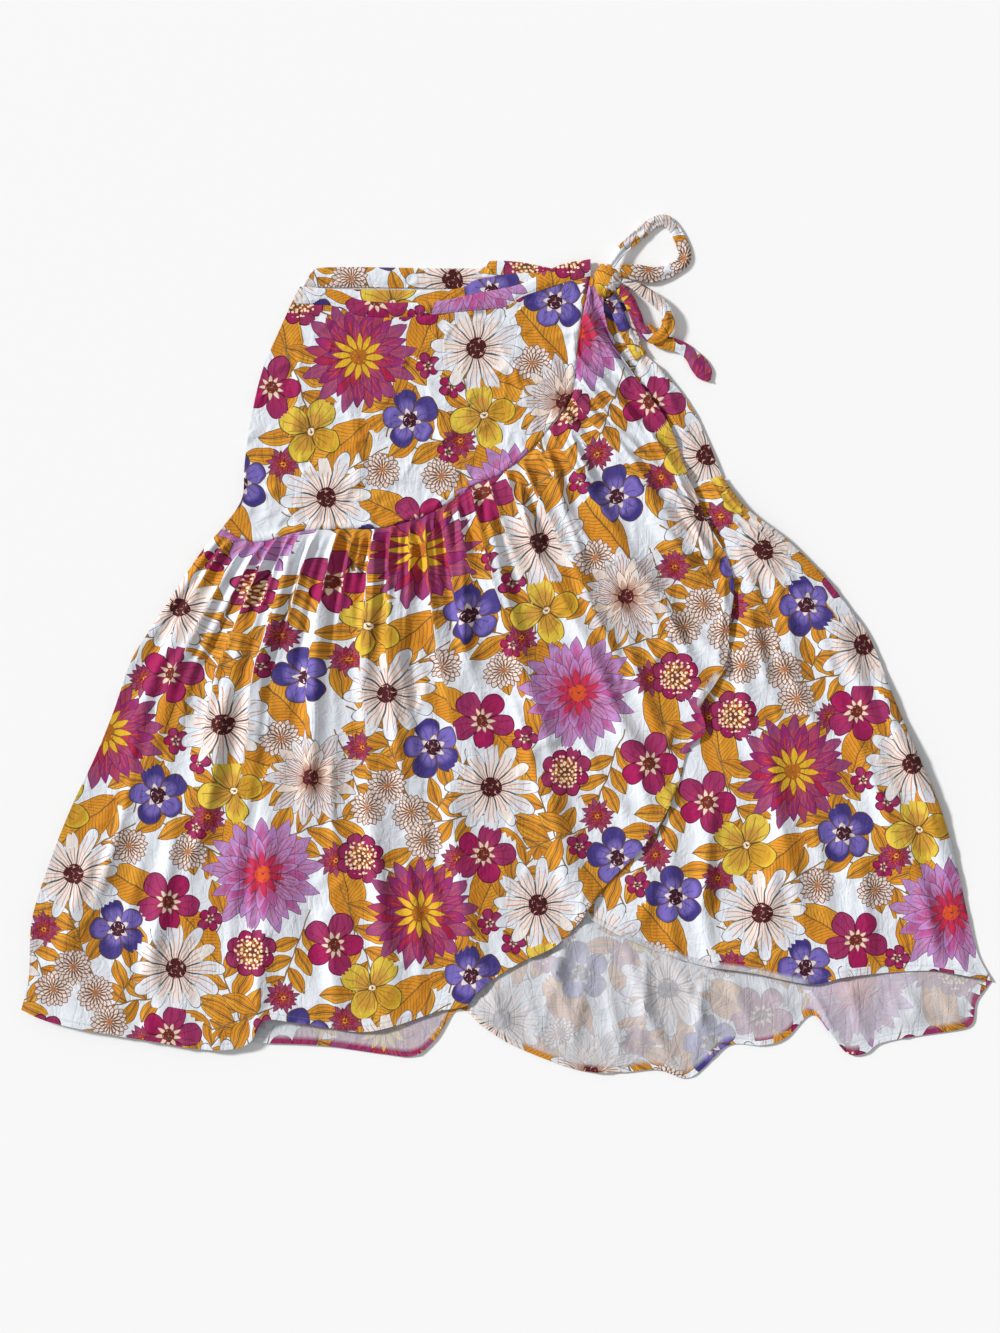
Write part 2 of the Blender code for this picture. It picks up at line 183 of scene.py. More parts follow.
# The print: a half-drop repeat of flowers and leaves on a white ground. A kind's size is
# its radius. point is the power of a petal's edge, 1 for a pointed one and 3 for a round
# one; gap is how far the edge falls between two petals; double says that a second row of
# petals shows behind; heart and middle are shares of the radius; veins is a petal's count
# of drawn lines on each side of its middle. Colours are 8-bit sRGB.
FLOWERS = table(
    "kind size petals point gap double heart heart_petals middle veins"
    " petal tip line vein inner dot",
    ("red_dahlia", 62, 13, 1.15, 0.42, 1, 0.46, 12, 0.13, 2.0,
     0xA4143C, 0x8E0660, 0x5C0434, 0xC84818, 0xDDAE24, 0xB06410),
    ("pink_dahlia", 64, 13, 1.15, 0.40, 1, 0.40, 10, 0.12, 2.2,
     0xB04C8C, 0xB480BC, 0x6A2A48, 0xB04030, 0xBE2448, 0xD0501A),
    ("daisy", 51, 12, 2.4, 0.52, 0, 0.24, 9, 0.19, 1.4,
     0xE6DCD6, 0xDFE3E9, 0x3C3330, 0xBC6C3C, 0xDCAA8C, 0x42030F),
    ("violet", 32, 5, 3.0, 0.36, 0, 0.44, 6, 0.23, 1.5,
     0x7262B0, 0x2A1E74, 0x5E4022, 0x4A3A90, 0xDCD2D8, 0x40081E),
    ("anemone", 34, 5, 2.4, 0.44, 0, 0.44, 9, 0.18, 1.5,
     0x9C0650, 0x940052, 0x560020, 0x7C0440, 0xEACAB4, 0x6E2210),
    ("buttercup", 37, 4, 2.2, 0.58, 0, 0.16, 5, 0.08, 2.2,
     0xC89420, 0xDCBC2C, 0x4E3C20, 0x8E6218, 0xB47618, 0xF0E2C8),
    ("raspberry", 27, 8, 2.2, 0.15, 0, 0.62, 15, 0.60, 0.8,
     0x94084E, 0x94064E, 0x4E0A22, 0x780A40, 0xB06A20, 0xF2D8B2),
    ("lily", 52, 9, 1.3, 0.62, 1, 0.18, 6, 0.15, 3.8,
     0xE6D2C2, 0xDEDDDE, 0x503224, 0x94522C, 0xDCB090, 0x500A16),
    ("pompom", 20, 17, 1.6, 0.16, 1, 0.34, 9, 0.10, 0.5,
     0xF0DED0, 0xEADBD0, 0x6E4028, 0xA8683E, 0xE8C8A8, 0xC86C30),
    ("star", 19, 8, 1.0, 0.55, 1, 0.40, 6, 0.12, 1.0,
     0x98103C, 0x8E064A, 0x5E0828, 0xC05020, 0xA83C1C, 0xD89028),
    ("mini", 14, 5, 2.4, 0.34, 0, 0.44, 5, 0.17, 1.0,
     0x9C0650, 0x940052, 0x560020, 0x7C0440, 0xEACAB4, 0x5E0C20))
LEAVES = table(
    "kind size spacing length width single",
    ("spray", 60, 25, 42, 9.5, 0), ("broad", 50, 30, 84, 19, 1), ("sprig", 52, 21, 33, 7.5, 0))
CLOSER = 0.81            # the charts' places are this much nearer each other on the cloth
REPEAT_WIDE, REPEAT_HIGH, HALF_DROP = 400 * CLOSER, 460 * CLOSER, 230 * CLOSER
LARGE_FLOWERS = table(
    "kind x y turn",
    ("red_dahlia", -110, 120, 20), ("pink_dahlia", 90, -60, 50), ("daisy", 40, 130, 10),
    ("daisy", -150, -60, 140), ("daisy", -20, -180, 75), ("lily", 152, 62, 200),
    ("violet", -45, 40, 30), ("violet", 140, 190, 100), ("violet", -95, -130, 250),
    ("buttercup", -170, 25, 15), ("buttercup", 50, 45, 60), ("anemone", -30, 195, 0),
    ("anemone", -30, -95, 130), ("anemone", 180, -150, 70), ("raspberry", -185, 190, 0),
    ("raspberry", 75, -160, 90))
SMALL_FLOWERS = table(
    "kind x y turn",
    ("pompom", -80, -25, 0), ("pompom", -5, -32, 40), ("pompom", -105, 212, 10),
    ("pompom", -150, -178, 0), ("pompom", -176, -206, 30), ("pompom", -122, -212, 60),
    ("pompom", 112, 112, 20), ("star", 115, -217, 15), ("star", 182, -42, 50),
    ("star", 212, 100, 0), ("star", -205, -17, 80), ("star", -62, 188, 30),
    ("mini", 8, 82, 0), ("mini", -22, 108, 35), ("mini", 92, 205, 70),
    ("mini", 5, -2, 20), ("mini", 22, -118, 0), ("star", 20, 12, 60))
NEAR_LEAVES = table(
    "kind x y turn",
    ("spray", -140, -150, 20), ("broad", -132, 8, 130), ("spray", -128, 165, 250),
    ("broad", 6, -136, 215), ("spray", -8, 14, 75), ("sprig", 12, 166, 320),
    ("sprig", 130, -160, 160), ("spray", 140, -6, 290), ("broad", 122, 150, 40),
    ("sprig", -60, 62, 30), ("spray", 62, 215, 110), ("spray", -190, 96, 200),
    ("broad", 62, -28, 20), ("sprig", -70, -178, 330))
FAR_LEAVES = table(
    "kind x y turn",
    ("broad", -72, -76, 60), ("spray", -62, 84, 170), ("sprig", -76, -222, 100),
    ("spray", 60, -82, 330), ("broad", 72, 88, 250), ("spray", 55, -228, 20),
    ("broad", 196, -82, 10), ("sprig", 200, 70, 200), ("spray", 198, -230, 140),
    ("spray", 12, -24, 240), ("sprig", -122, -24, 300), ("spray", 130, 60, 80),
    ("broad", -24, 150, 340), ("spray", -150, -110, 60), ("sprig", 30, 60, 10))
PLACES = {"flower": (LARGE_FLOWERS, FLOWERS), "bloom": (SMALL_FLOWERS, FLOWERS),
          "leaf": (NEAR_LEAVES, LEAVES), "far_leaf": (FAR_LEAVES, LEAVES)}
KIND_STEP = 1 / 16       # a kind's number on the shader's 0 to 1 scale


def seen_from_motifs(corners, chart, kinds):
    """Each face takes the chart's nearest motif, for its size, and its corners get their
    place as seen from that motif's middle, in centimetres, and the motif's kind."""
    middle = corners.mean(axis=1)
    best, place = np.full(len(middle), np.inf), np.zeros((*corners.shape[:2], 3))
    for motif in chart:
        number = list(kinds["kind"]).index(motif["kind"])
        x, y = motif["x"] * CLOSER, motif["y"] * CLOSER
        column = np.round((middle[:, 0] - x) / REPEAT_WIDE)
        drop = y + column * HALF_DROP
        row = np.round((middle[:, 1] - drop) / REPEAT_HIGH)
        centre = np.column_stack([x + column * REPEAT_WIDE, drop + row * REPEAT_HIGH])
        away = np.linalg.norm(middle - centre, axis=1) / kinds["size"][number]
        closer = away < best
        best[closer] = away[closer]
        turn = np.radians(motif["turn"])
        turned = np.array([[np.cos(turn), -np.sin(turn)], [np.sin(turn), np.cos(turn)]])
        place[closer, :, :2] = (corners[closer] - centre[closer, None]) @ turned / 10
        place[closer, :, 2] = (number + 0.5) * KIND_STEP
    return place


def lay_print(mesh, cut):
    """Gives the mesh its print: cut holds each point's place on the flat cloth, in millimetres."""
    corner = np.empty(len(mesh.loops), np.int32)
    mesh.loops.foreach_get("vertex_index", corner)
    corners = cut[corner].reshape(-1, 4, 2)
    mesh.uv_layers.new(name="cut").uv.foreach_set("vector", (corners * MM).ravel())
    for name, (chart, kinds) in PLACES.items():
        layer = mesh.attributes.new(name, "FLOAT_VECTOR", "CORNER")
        layer.data.foreach_set("vector", seen_from_motifs(corners, chart, kinds).ravel())


def quads_mesh(name, points, faces):
    mesh = bpy.data.meshes.new(name)
    mesh.vertices.add(len(points))
    mesh.vertices.foreach_set("co", points.ravel())
    mesh.loops.add(faces.size)
    mesh.loops.foreach_set("vertex_index", faces.ravel().astype(np.int32))
    mesh.polygons.add(len(faces))
    mesh.polygons.foreach_set("loop_start", np.arange(len(faces), dtype=np.int32) * 4)
    mesh.update(calc_edges=True)
    return mesh


def cloth(name, grid, height, cut, hem=None, wrong=0.0, thick=CLOTH):
    """A closed thin shell: the grid's points at their height, the same points a thickness
    lower, and a strip of faces round the edge. hem is each point's distance from the hem,
    and wrong says where the wrong side of the cloth is up."""
    rows, columns = height.shape
    upper = np.dstack([grid, height + thick]).reshape(-1, 3)
    lower = upper - (0, 0, thick)
    count = len(upper)
    number = np.arange(count).reshape(rows, columns)
    up = np.stack([number[:-1, :-1], number[1:, :-1], number[1:, 1:], number[:-1, 1:]], -1)
    up = up.reshape(-1, 4)
    rim = np.concatenate([number[0, :-1], number[:-1, -1], number[-1, :0:-1], number[:0:-1, 0]])
    ahead = np.roll(rim, -1)
    strip = np.column_stack([rim + count, rim, ahead, ahead + count])
    down = up[:, [0, 3, 2, 1]] + count       # turned over, but split along the same diagonal
    mesh = quads_mesh(name, np.vstack([upper, lower]) * MM, np.vstack([up, down, strip]))
    lay_print(mesh, np.tile(cut.reshape(-1, 2), (2, 1)))
    hem = np.full(height.shape, 200.0) if hem is None else hem
    shown = np.broadcast_to(wrong, height.shape).ravel()
    for label, upper_values, lower_values in (
            ("hem", hem.ravel(), hem.ravel()), ("wrong_side", shown, 1 - shown)):
        layer = mesh.attributes.new(label, "FLOAT", "POINT")
        layer.data.foreach_set("value", np.concatenate([upper_values, lower_values]))
    mesh.shade_smooth()
    mesh.set_sharp_from_angle(angle=np.radians(80))
    made = bpy.data.objects.new(name, mesh)
    bpy.context.scene.collection.objects.link(made)
    return made


class Value:
    """One number at each point of a surface, as a node's output. Formulas add Math nodes."""

    def __init__(self, tree, socket):
        self.tree, self.socket = tree, socket

    def math(self, operation, *given):
        node = self.tree.nodes.new("ShaderNodeMath")
        node.operation = operation
        for socket, value in zip(node.inputs, given):
            join(self.tree, value, socket)
        return Value(self.tree, node.outputs[0])

    def __add__(self, other):
        return self.math("ADD", self, other)

    def __sub__(self, other):
        return self.math("SUBTRACT", self, other)

    def __rsub__(self, other):
        return self.math("SUBTRACT", other, self)

    def __mul__(self, other):
        return self.math("MULTIPLY", self, other)

    def __truediv__(self, other):
        return self.math("DIVIDE", self, other)

    def __pow__(self, other):
        return self.math("POWER", self, other)

    def __lt__(self, other):
        return self.math("LESS_THAN", self, other)

    def __gt__(self, other):
        return self.math("GREATER_THAN", self, other)

    def part(self):
        return self.math("FRACT", self)

    def size(self):
        return self.math("ABSOLUTE", self)

    def least(self, other):
        return self.math("MINIMUM", self, other)

    def most(self, other):
        return self.math("MAXIMUM", self, other)

    __radd__, __rmul__ = __add__, __mul__


def join(tree, value, socket):
    """Links a Value or a node's output to an input, or sets the input to a number or colour."""
    if isinstance(value, Value):
        value = value.socket
    if isinstance(value, bpy.types.NodeSocket):
        tree.links.new(value, socket)
    else:
        socket.default_value = value


def add_node(tree, kind, settings=(), **inputs):
    node = tree.nodes.new("ShaderNode" + kind)
    for name, value in dict(settings).items():
        setattr(node, name, value)
    for name, value in inputs.items():
        join(tree, value, node.inputs[name.replace("_", " ")])
    return node


def blend(tree, share, below, above):
    """The colour below where share is 0, and above where it is 1."""
    node = tree.nodes.new("ShaderNodeMix")
    node.data_type = "RGBA"
    for place, value in ((0, share), (6, below), (7, above)):
        join(tree, value, node.inputs[place])
    return node.outputs[2]


def group(name, inputs, outputs):
    """A new shader node group, its inputs as Values and its outputs' sockets, by name."""
    tree = bpy.data.node_groups.new(name, "ShaderNodeTree")
    for labels, way in ((inputs, "INPUT"), (outputs, "OUTPUT")):
        for label, kind in labels.items():
            tree.interface.new_socket(label, in_out=way, socket_type="NodeSocket" + kind)
    inward, outward = tree.nodes.new("NodeGroupInput"), tree.nodes.new("NodeGroupOutput")
    given = {s.name: Value(tree, s) for s in inward.outputs if s.name}
    return tree, given, {s.name: s for s in outward.inputs if s.name}


def use(tree, inner, **inputs):
    node = add_node(tree, "Group", {"node_tree": inner}, **inputs)
    return {socket.name: Value(tree, socket) for socket in node.outputs}


def dye(code):
    """An 8-bit sRGB colour as the shader's linear one."""
    share = np.array([code >> 16, code >> 8 & 255, code & 255]) / 255
    linear = np.where(share < 0.04045, share / 12.92, ((share + 0.055) / 1.055) ** 2.4)
    return (*linear.tolist(), 1.0)


def by_kind(tree, kind, values):
    """A colour or up to four numbers from 0 to 1 for each kind, picked by the kind's number."""
    node = add_node(tree, "ValToRGB", Fac=kind)
    ramp = node.color_ramp
    ramp.interpolation = "CONSTANT"
    ramp.elements.remove(ramp.elements[1])
    ramp.elements[0].position = 0
    ramp.elements[0].color = values[0]
    for number, value in enumerate(values[1:], 1):
        ramp.elements.new(number * KIND_STEP).color = value
    return node


def numbers(tree, kind, kinds, *columns):
    """Each column's number for the kind, scaled back from its share of the column's largest."""
    most = [float(kinds[column].max()) for column in columns]
    rows = [[float(kinds[column][i]) / top for column, top in zip(columns, most)]
            for i in range(len(kinds))]
    picked = by_kind(tree, kind, [(*row, *[0.0] * (3 - len(row)), 1.0) for row in rows])
    split = add_node(tree, "SeparateColor", Color=picked.outputs[0])
    return [Value(tree, split.outputs[i]) * most[i] for i in range(len(columns))]


def colour_by_kind(tree, kind, column):
    return by_kind(tree, kind, [dye(int(code)) for code in FLOWERS[column]]).outputs[0]


DRAWN_LINE = 0.08       # half width of a drawn outline, in centimetres

# A ring of petals: round the middle the ring is cut into equal sectors, a petal each. The
# petal's edge is furthest out at the sector's middle and falls off towards its sides.
petal_ring, given, made = group(
    "Petal ring", {"Turn": "Float", "Radius": "Float", "Petals": "Float", "Shift": "Float",
                   "Reach": "Float", "Point": "Float", "Gap": "Float", "Veins": "Float"},
    {"Cover": "Float", "Line": "Float", "Vein": "Float", "Outward": "Float", "Chance": "Float"})
sector = (given["Turn"] + given["Shift"] / given["Petals"]).part() * given["Petals"]
petal = sector.math("FLOOR", sector)
aside = (sector - petal - 0.5).size() * 2
chance = Value(petal_ring, add_node(
    petal_ring, "TexWhiteNoise", {"noise_dimensions": "1D"}, W=petal + given["Shift"]).outputs[0])
edge = given["Reach"] * (0.88 + 0.14 * chance) * (1 - given["Gap"] * aside ** given["Point"])
cover = given["Radius"] < edge
to_side = (1 - aside) * given["Radius"] * np.pi / given["Petals"]
outline = ((edge - given["Radius"]) / (1 + 1.5 * aside)).least(to_side) < DRAWN_LINE
vein = ((aside * given["Veins"]).part() - 0.5).size() * given["Radius"] * 3.1
vein = (vein / (given["Petals"] * given["Veins"])) < 0.6 * DRAWN_LINE
outward = given["Radius"] / edge.most(0.01)
vein = vein * (outward < 0.62 + 0.3 * chance)
for label, value in (("Cover", cover), ("Line", outline), ("Vein", vein), ("Outward", outward),
                     ("Chance", chance)):
    join(petal_ring, value, made[label])

# A whole flower: a row of petals behind, a row before them, the heart's small petals, and
# the middle with its dots.
flower_drawing, given, made = group(
    "Drawn flower", {"Place": "Vector", "Kind": "Float"}, {"Colour": "Color", "Cover": "Float"})
tree, kind = flower_drawing, given["Kind"]
split = add_node(tree, "SeparateXYZ", Vector=given["Place"])
x, y = (Value(tree, split.outputs[i]) for i in (0, 1))
radius = (x * x + y * y) ** 0.5
turn = x.math("ARCTAN2", y, x) * (0.5 / np.pi) + 0.5
size, petals, point = numbers(tree, kind, FLOWERS, "size", "petals", "point")
gap, double, veins = numbers(tree, kind, FLOWERS, "gap", "double", "veins")
heart, heart_petals, middle = numbers(tree, kind, FLOWERS, "heart", "heart_petals", "middle")
size = size * 0.1
inks = {name: colour_by_kind(tree, kind, name) for name in ("petal", "tip", "line", "vein", "inner", "dot")}
colour, whole = inks["petal"], None
for reach, shift, shade in ((size * double, 0.5, 0.14), (size * (1 - 0.15 * double), 0.0, 0.0),
                            (size * double * 0.64, 0.3, 0.06)):
    ring = use(tree, petal_ring, Turn=turn, Radius=radius, Petals=petals, Shift=shift,
               Reach=reach, Point=point, Gap=gap, Veins=veins)
    tipped = (ring["Outward"] - 0.86 + 0.45 * ring["Chance"]) * 5
    tone = blend(tree, tipped, inks["petal"], inks["tip"])
    tone = blend(tree, ring["Chance"] * 0.12 + shade, tone, (0.28, 0.2, 0.28, 1))
    tone = blend(tree, ring["Vein"] * 0.75, tone, inks["vein"])
    tone = blend(tree, ring["Line"] * 0.92, tone, inks["line"])
    colour = blend(tree, ring["Cover"], colour, tone)
    whole = ring["Cover"] if whole is None else whole.most(ring["Cover"])
ring = use(tree, petal_ring, Turn=turn, Radius=radius, Petals=heart_petals, Shift=0.25,
           Reach=size * heart, Point=1.2, Gap=0.5, Veins=1.0)
tone = blend(tree, ring["Line"] * 0.8, inks["inner"], inks["line"])
colour = blend(tree, ring["Cover"], colour, tone)
dots = add_node(tree, "TexVoronoi", {"voronoi_dimensions": "2D"}, Vector=given["Place"],
                Scale=2.3, Randomness=0.7)
dot = Value(tree, dots.outputs["Distance"]) < 0.58 - 0.26 * (middle > 0.5)
colour = blend(tree, dot * (radius < size * middle * 1.08), colour, inks["dot"])
join(tree, colour, made["Colour"])
join(tree, whole, made["Cover"])

# Leaves: a stem along Y with slanting leaves on both sides, or one broad leaf on it. A leaf
# is as wide as its parabola, pointed at both ends, with a midrib and slanting veins.
SLANT = np.radians(48)
leaf_drawing, given, made = group(
    "Drawn leaves", {"Place": "Vector", "Kind": "Float"}, {"Colour": "Color", "Cover": "Float"})
tree, kind = leaf_drawing, given["Kind"]
split = add_node(tree, "SeparateXYZ", Vector=given["Place"])
x, y = (Value(tree, split.outputs[i]) for i in (0, 1))
size, spacing, length = numbers(tree, kind, LEAVES, "size", "spacing", "length")
width, single, _ = numbers(tree, kind, LEAVES, "width", "single", "size")
stem, spacing, length, width = size * 0.078, spacing * 0.1, length * 0.1, width * 0.1
out = x.size()
level = (y - out * (1 / np.tan(SLANT))) / spacing - x.math("SIGN", x) * 0.25
pair = level.math("ROUND", level)
across = (level - pair) * spacing * np.sin(SLANT)
along = out * (1 / np.sin(SLANT)) + across * (1 / np.tan(SLANT))
along = along + single * (y + length * 0.5 - along)
across = across + single * (x - across)
share = along / length
half = width * share * (1 - share) * 4
fits = ((pair * spacing).size() < stem * 0.8).most(single)
cover = (across.size() < half) * fits
veining = (along - across.size() * 0.9) * 2.3
ribbed = ((across.size() / half.most(0.02) * 2.6).part() - 0.5).size() < 0.13
vein = ((veining.part() - 0.5).size() < 0.11) * single
vein = vein.most(ribbed * (1 - single)) * (across.size() < half * 0.88)
lines = (half - across.size()).least(across.size() + 0.015) < DRAWN_LINE
lines = lines.most(vein * 0.7)
stalk = (out < 0.075) * (y.size() < stem * 1.15)
tone = blend(tree, share * (0.35 + 0.65 * (across > 0)), dye(0xCC8012), dye(0xE0A02C))
tone = blend(tree, lines * 0.9, tone, dye(0x6A4E2A))
join(tree, blend(tree, cover, dye(0x8A6A3A), tone), made["Colour"])
join(tree, cover.most(stalk), made["Cover"])

# The print on its ground. A slow wobble of the drawn lines keeps them from looking ruled.
floral_print, given, made = group("Floral print", {}, {"Colour": "Color"})
tree = floral_print
flat = add_node(tree, "UVMap", {"uv_map": "cut"}).outputs[0]
wobble = add_node(tree, "VectorMath", {"operation": "MULTIPLY_ADD"})
noise = add_node(tree, "TexNoise", {"noise_dimensions": "2D"}, Vector=flat, Scale=50.0, Detail=1.0)
join(tree, noise.outputs["Color"], wobble.inputs[0])
wobble.inputs[1].default_value = (0.44, 0.44, 0)
wobble.inputs[2].default_value = (-0.22, -0.22, 0)
colour = dye(0xDFE3EA)
for name, drawing in (("far_leaf", leaf_drawing), ("leaf", leaf_drawing),
                      ("bloom", flower_drawing), ("flower", flower_drawing)):
    place = add_node(tree, "Attribute", {"attribute_name": name}).outputs["Vector"]
    kind = Value(tree, add_node(tree, "SeparateXYZ", Vector=place).outputs[2])
    drawn = add_node(tree, "VectorMath", {"operation": "ADD"})
    join(tree, place, drawn.inputs[0])
    join(tree, wobble.outputs[0], drawn.inputs[1])
    motif = use(tree, drawing, Place=drawn.outputs[0], Kind=kind)
    colour = blend(tree, motif["Cover"], colour, motif["Colour"])
join(tree, colour, made["Colour"])

# The cloth's own surface: fine crinkles, the weave's grain and the hem's stitched groove, with a mask of
# the groove whose grey is painted shade together with its stitches.
viscose_surface, given, made = group(
    "Viscose surface", {"Crinkle": "Float"}, {"Height": "Float", "Stitch groove shade": "Float"})
tree = viscose_surface
flat = add_node(tree, "UVMap", {"uv_map": "cut"}).outputs[0]
crinkle = add_node(tree, "TexNoise", {"noise_dimensions": "2D"}, Vector=flat, Scale=62.0,
                   Detail=3.0, Roughness=0.55, Distortion=0.6)
grain = add_node(tree, "TexNoise", {"noise_dimensions": "2D"}, Vector=flat, Scale=1400.0,
                 Detail=1.0)
narrow = add_node(tree, "Mapping", Vector=flat, Scale=(70.0, 17.0, 1.0))
narrow = add_node(tree, "TexNoise", {"noise_dimensions": "2D"}, Vector=narrow.outputs[0],
                  Scale=1.0, Detail=1.0, Distortion=0.8)
pinched = (Value(tree, narrow.outputs["Fac"]) - 0.5).size().least(0.11) * 1.1
from_hem = Value(tree, add_node(tree, "Attribute", {"attribute_name": "hem"}).outputs["Fac"])
# The groove's mask: it sinks the bump, and the material greys it as painted shade with the stitches.
groove = (from_hem - (HEM_TURN - 1.0)).size() < 0.55
ripple = (Value(tree, crinkle.outputs["Fac"]) - 0.5).size() * given["Crinkle"]
height = ripple + pinched + Value(tree, grain.outputs["Fac"]) * 0.05 - groove * 0.35
join(tree, height, made["Height"])
join(tree, groove, made["Stitch groove shade"])


def cloth_material(name, crinkle=1.0):
    """Printed viscose: soft, matt, with the print faded where its wrong side shows, and the hem's stitched
    groove greyed with painted shade and its stitches.
    """
    made = bpy.data.materials.new(name)
    made.use_nodes = True
    tree, shader = made.node_tree, made.node_tree.nodes["Principled BSDF"]
    right = use(tree, floral_print)["Colour"]
    wrong = Value(tree, add_node(tree, "Attribute",
                                 {"attribute_name": "wrong_side"}).outputs["Fac"])
    shown = blend(tree, wrong * 0.7, right, dye(0xC4C6CB))
    surface = use(tree, viscose_surface, Crinkle=crinkle)
    # Painted shade: the stitched groove is greyed in the colour, for its stitches and the shade that falls
    # in it.
    shown = blend(tree, surface["Stitch groove shade"] * 0.16, shown, dye(0x8E8A90))
    join(tree, shown, shader.inputs["Base Color"])
    bump = add_node(tree, "Bump", Height=surface["Height"], Strength=0.7, Distance=0.0024)
    join(tree, bump.outputs[0], shader.inputs["Normal"])
    shader.inputs["Roughness"].default_value = 0.78
    shader.inputs["Specular IOR Level"].default_value = 0.25
    shader.inputs["Sheen Weight"].default_value = 0.12
    shader.inputs["Sheen Roughness"].default_value = 0.5
    return made


printed_viscose = cloth_material("printed_viscose")
wrong_side_viscose = cloth_material("wrong_side_viscose")


def finish_cloth(piece, node, material):
    piece.data.materials.append(material)
    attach(piece, "root")
    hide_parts(node)


def hem_ridge(from_hem):
    """The turned hem: twice the cloth for its width, then a step down."""
    return 0.5 * (1 - rise(from_hem, HEM_TURN - 1.5, HEM_TURN + 1.5))


def column_lengths(grid):
    """How far each point is from the foot of its column, along the cloth."""
    steps = np.linalg.norm(np.diff(grid, axis=0), axis=2)
    return np.vstack([np.cumsum(steps[::-1], axis=0)[::-1], np.zeros((1, grid.shape[1]))])


# Folds of the strip that shows under the wraps' hems.
BACK_CREASES = table(
    "x0 y0 x1 y1 bow width height",
    (-30, -290, 10, -415, -8, 10, 3.5), (30, -280, 72, -437, 6, 12, 4.0),
    (95, -320, 115, -440, 4, 8, 3.0), (120, -290, 180, -446, -10, 10, 4.5),
    (170, -330, 215, -430, 5, 9, 3.0), (225, -320, 262, -414, -4, 10, 3.0),
    (300, -340, 340, -410, 4, 9, 3.5), (350, -335, 372, -420, -3, 9, 3.0),
    (400, -340, 425, -405, 5, 10, 2.5), (440, -350, 465, -398, 0, 8, 2.5),
    (60, -270, 30, -400, 5, 7, 3.5), (90, -300, 68, -420, -4, 6, 3.0),
    (140, -300, 134, -430, 4, 7, 3.5), (205, -330, 196, -436, -4, 7, 3.0),
    (150, -345, 250, -375, 4, 6, 2.5), (250, -340, 300, -395, 4, 6, 3.0),
    (0, -320, -40, -380, 3, 6, 2.5), (30, -345, 110, -380, -4, 6, 2.5))
BACK_COLUMNS, BACK_ROWS = 260, 120
seam, hem = line(BACK_SEAM, BACK_COLUMNS), line(BACK_HEM, BACK_COLUMNS)
grid = panel(seam, hem, line(LEFT_FLOUNCE_SIDE, BACK_ROWS), line(RIGHT_FLOUNCE_SIDE, BACK_ROWS))
from_hem = column_lengths(grid)

OVER_HEM = table(
    "x y", (-500, -375), (-469, -388), (-406, -401), (-368, -407), (-323, -415),
    (-286, -416), (-264, -408), (-250, -386), (-220, -388), (-182, -394), (-148, -398),
    (-113, -391), (-72, -377), (-42, -371), (-26, -352), (13, -327), (47, -311),
    (72, -288), (102, -247), (137, -211), (161, -177), (176, -144), (186, -108),
    (204, -88), (200, -62), (214, -40), (227, -16), (229, 22), (234, 60), (226, 92),
    (207, 126), (191, 164), (180, 192), (166, 229), (140, 266), (110, 310),
    (101, 338), (99, 362))
UNDER_HEM = table(
    "x y", (-211, 342), (-222, 250), (-224, 150), (-208, 50), (-170, -50), (-110, -130),
    (-40, -196), (20, -244), (82, -280), (130, -305), (194, -328), (251, -337),
    (314, -349), (352, -341), (431, -335), (477, -341), (500, -346))
wraps = np.vstack([line(OVER_HEM, 160)[:70], line(UNDER_HEM, 120)[60:], [(500, 175), (-500, 175)]])
open_air = rise(-inside_distance(grid, wraps), 0, 16)
height = BACK_LEVEL + hem_ridge(from_hem) * open_air
height = height + open_air * np.maximum(
    1.5 * creases(grid, BACK_CREASES) + crumples(grid, 420, 5, lift=3.0, lean=-1.2, spread=0.6)
    + 0.8 + 0.8 * dents(grid[..., 0] / 34, grid[..., 1] / 60, 3), 0)
turned_in = 1 - rise(from_hem, HEM_TURN - 1, HEM_TURN)
flounce_back = cloth("flounce_back_cloth", grid, height, grid + (37, 118), hem=from_hem,
                     wrong=1 - turned_in)
finish_cloth(flounce_back, "flounce_back", wrong_side_viscose)

# ---------------------------------------------------------------------------------------
# Back yoke and waistband. The yoke is one flat piece of the same cloth, wrong side up and
# nearly all covered; the band is doubled cloth, so the right side of its print shows.

BACK_BAND_TOP = table(
    "x y", (-203, 383), (-182, 390), (-36, 389), (-19, 396), (7, 396), (36, 391), (125, 371))
BACK_BAND_FOOT = table(
    "x y", (-213, 364), (-190, 369), (-36, 368), (-15, 374), (10, 375), (40, 370), (130, 351))
LEFT_YOKE_SIDE = table(
    "x y", (-222, 352), (-233, 328), (-252, 283), (-263, 236), (-270, 190), (-273, 151),
    (-294, 120))
RIGHT_YOKE_SIDE = table(
    "x y", (130, 351), (139, 306), (161, 282), (187, 250), (207, 211), (221, 175))

grid = panel(line(BACK_BAND_FOOT, 90), line(BACK_SEAM, 90),
             line(LEFT_YOKE_SIDE, 40), line(RIGHT_YOKE_SIDE, 40))
yoke_back = cloth("yoke_back_cloth", grid, np.full(grid.shape[:2], BACK_LEVEL), grid, wrong=1.0)
finish_cloth(yoke_back, "yoke_back", wrong_side_viscose)


def rolled(grid, crown):
    """Height of a doubled band: pressed at both edges and full between them."""
    share = np.linspace(0, 1, grid.shape[0])[:, None]
    return crown * np.sin(np.pi * share) ** 0.6 * np.ones(grid.shape[:2])


